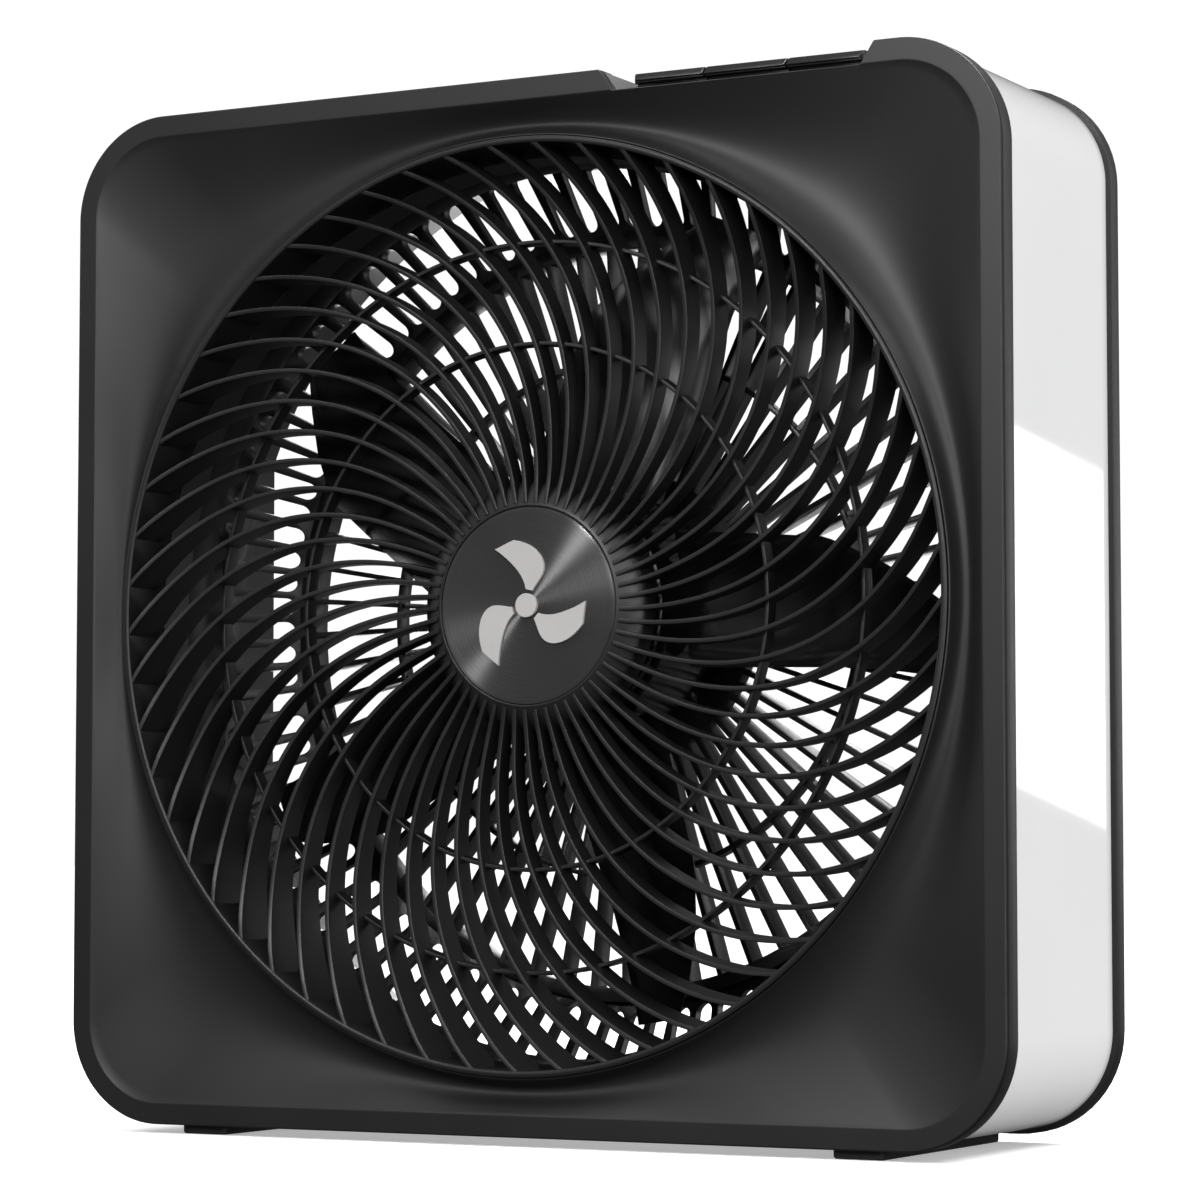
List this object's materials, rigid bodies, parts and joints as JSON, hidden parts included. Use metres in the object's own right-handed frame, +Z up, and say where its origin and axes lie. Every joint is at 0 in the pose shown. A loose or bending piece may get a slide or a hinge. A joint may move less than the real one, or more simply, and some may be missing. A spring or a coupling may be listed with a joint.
{
  "type": "box fan",
  "caption": "Square free-standing box fan with a spiral-ribbed round front guard, bladed impeller, rear grille and a row of push buttons in the top edge.",
  "frame": {"origin": "middle of the resting surface below the body, halfway between the front border and the rear rim", "axes": "+Z up, the front guard faces -Y, +X is to the viewer's right when looking at the front"},
  "size_m": [0.34, 0.1, 0.343],
  "materials": {
    "front_black": "satin moulded black",
    "grille_black": "satin moulded black",
    "disc_black": "spun brushed black metal",
    "emblem_silver": "satin silver",
    "shell_white": "smooth white",
    "duct_black": "matte moulded black",
    "rubber_black": "soft matte",
    "button_black": "satin moulded black",
    "steel": "zinc plated",
    "board_green": "coated laminate",
    "switch_black": "matte",
    "capacitor_grey": "matte box",
    "terminal_white": "matte",
    "wire_grey": "sleeved wire",
    "motor_alu": "pressed sheet",
    "stator_steel": "laminated",
    "copper": "enamelled copper wire",
    "bearing_brass": "sintered bronze",
    "impeller_black": "satin moulded black",
    "nut_black": "moulded",
    "brass": "turned"
  },
  "bodies": {
    "housing": {"front_bezel": "front_black", "front_grille": "grille_black", "hub_disc": "disc_black", "hub_emblem": "emblem_silver", "side_shell": "shell_white", "rear_housing": "front_black", "rear_grille": "grille_black", "intake_duct": "duct_black", "foot_left": "rubber_black", "foot_right": "rubber_black", "control_tray": "front_black", "spring_left": "steel", "spring_centre": "steel", "spring_right": "steel", "control_board": "board_green", "tact_switches": "switch_black", "board_screws": "steel", "run_capacitor": "capacitor_grey", "terminal_block": "terminal_white", "motor_harness": "wire_grey", "cord_bush": "rubber_black", "motor_cover": "grille_black", "motor_rear_bell": "motor_alu", "motor_front_bell": "motor_alu", "stator_core": "stator_steel", "stator_windings": "copper", "rear_bearing": "bearing_brass", "front_bearing": "bearing_brass", "motor_screws": "steel", "housing_screws": "steel", "disc_clips": "steel"},
    "rotor": {"impeller": "impeller_black", "rotor_core": "stator_steel", "shaft": "steel", "impeller_nut": "nut_black", "shaft_collar": "brass"},
    "left_key": {"button_left": "button_black"},
    "centre_key": {"button_centre": "button_black"},
    "right_key": {"button_right": "button_black"}
  },
  "joints": [
    {"name": "impeller_spin", "type": "hinge", "parent": "housing", "child": "rotor", "pos_m": [0, 0, 0.173], "axis": [0, 1, 0], "continuous": true},
    {"name": "left_key_press", "type": "slide", "parent": "housing", "child": "left_key", "axis": [0, 0, -1], "range_m": [0, 0.0012], "stiffness_N_per_m": 300, "springref_m": -0.0008, "deforming": ["spring_left"]},
    {"name": "centre_key_press", "type": "slide", "parent": "housing", "child": "centre_key", "axis": [0, 0, -1], "range_m": [0, 0.0012], "stiffness_N_per_m": 300, "springref_m": -0.0008, "deforming": ["spring_centre"]},
    {"name": "right_key_press", "type": "slide", "parent": "housing", "child": "right_key", "axis": [0, 0, -1], "range_m": [0, 0.0012], "stiffness_N_per_m": 300, "springref_m": -0.0008, "deforming": ["spring_right"]}
  ]
}
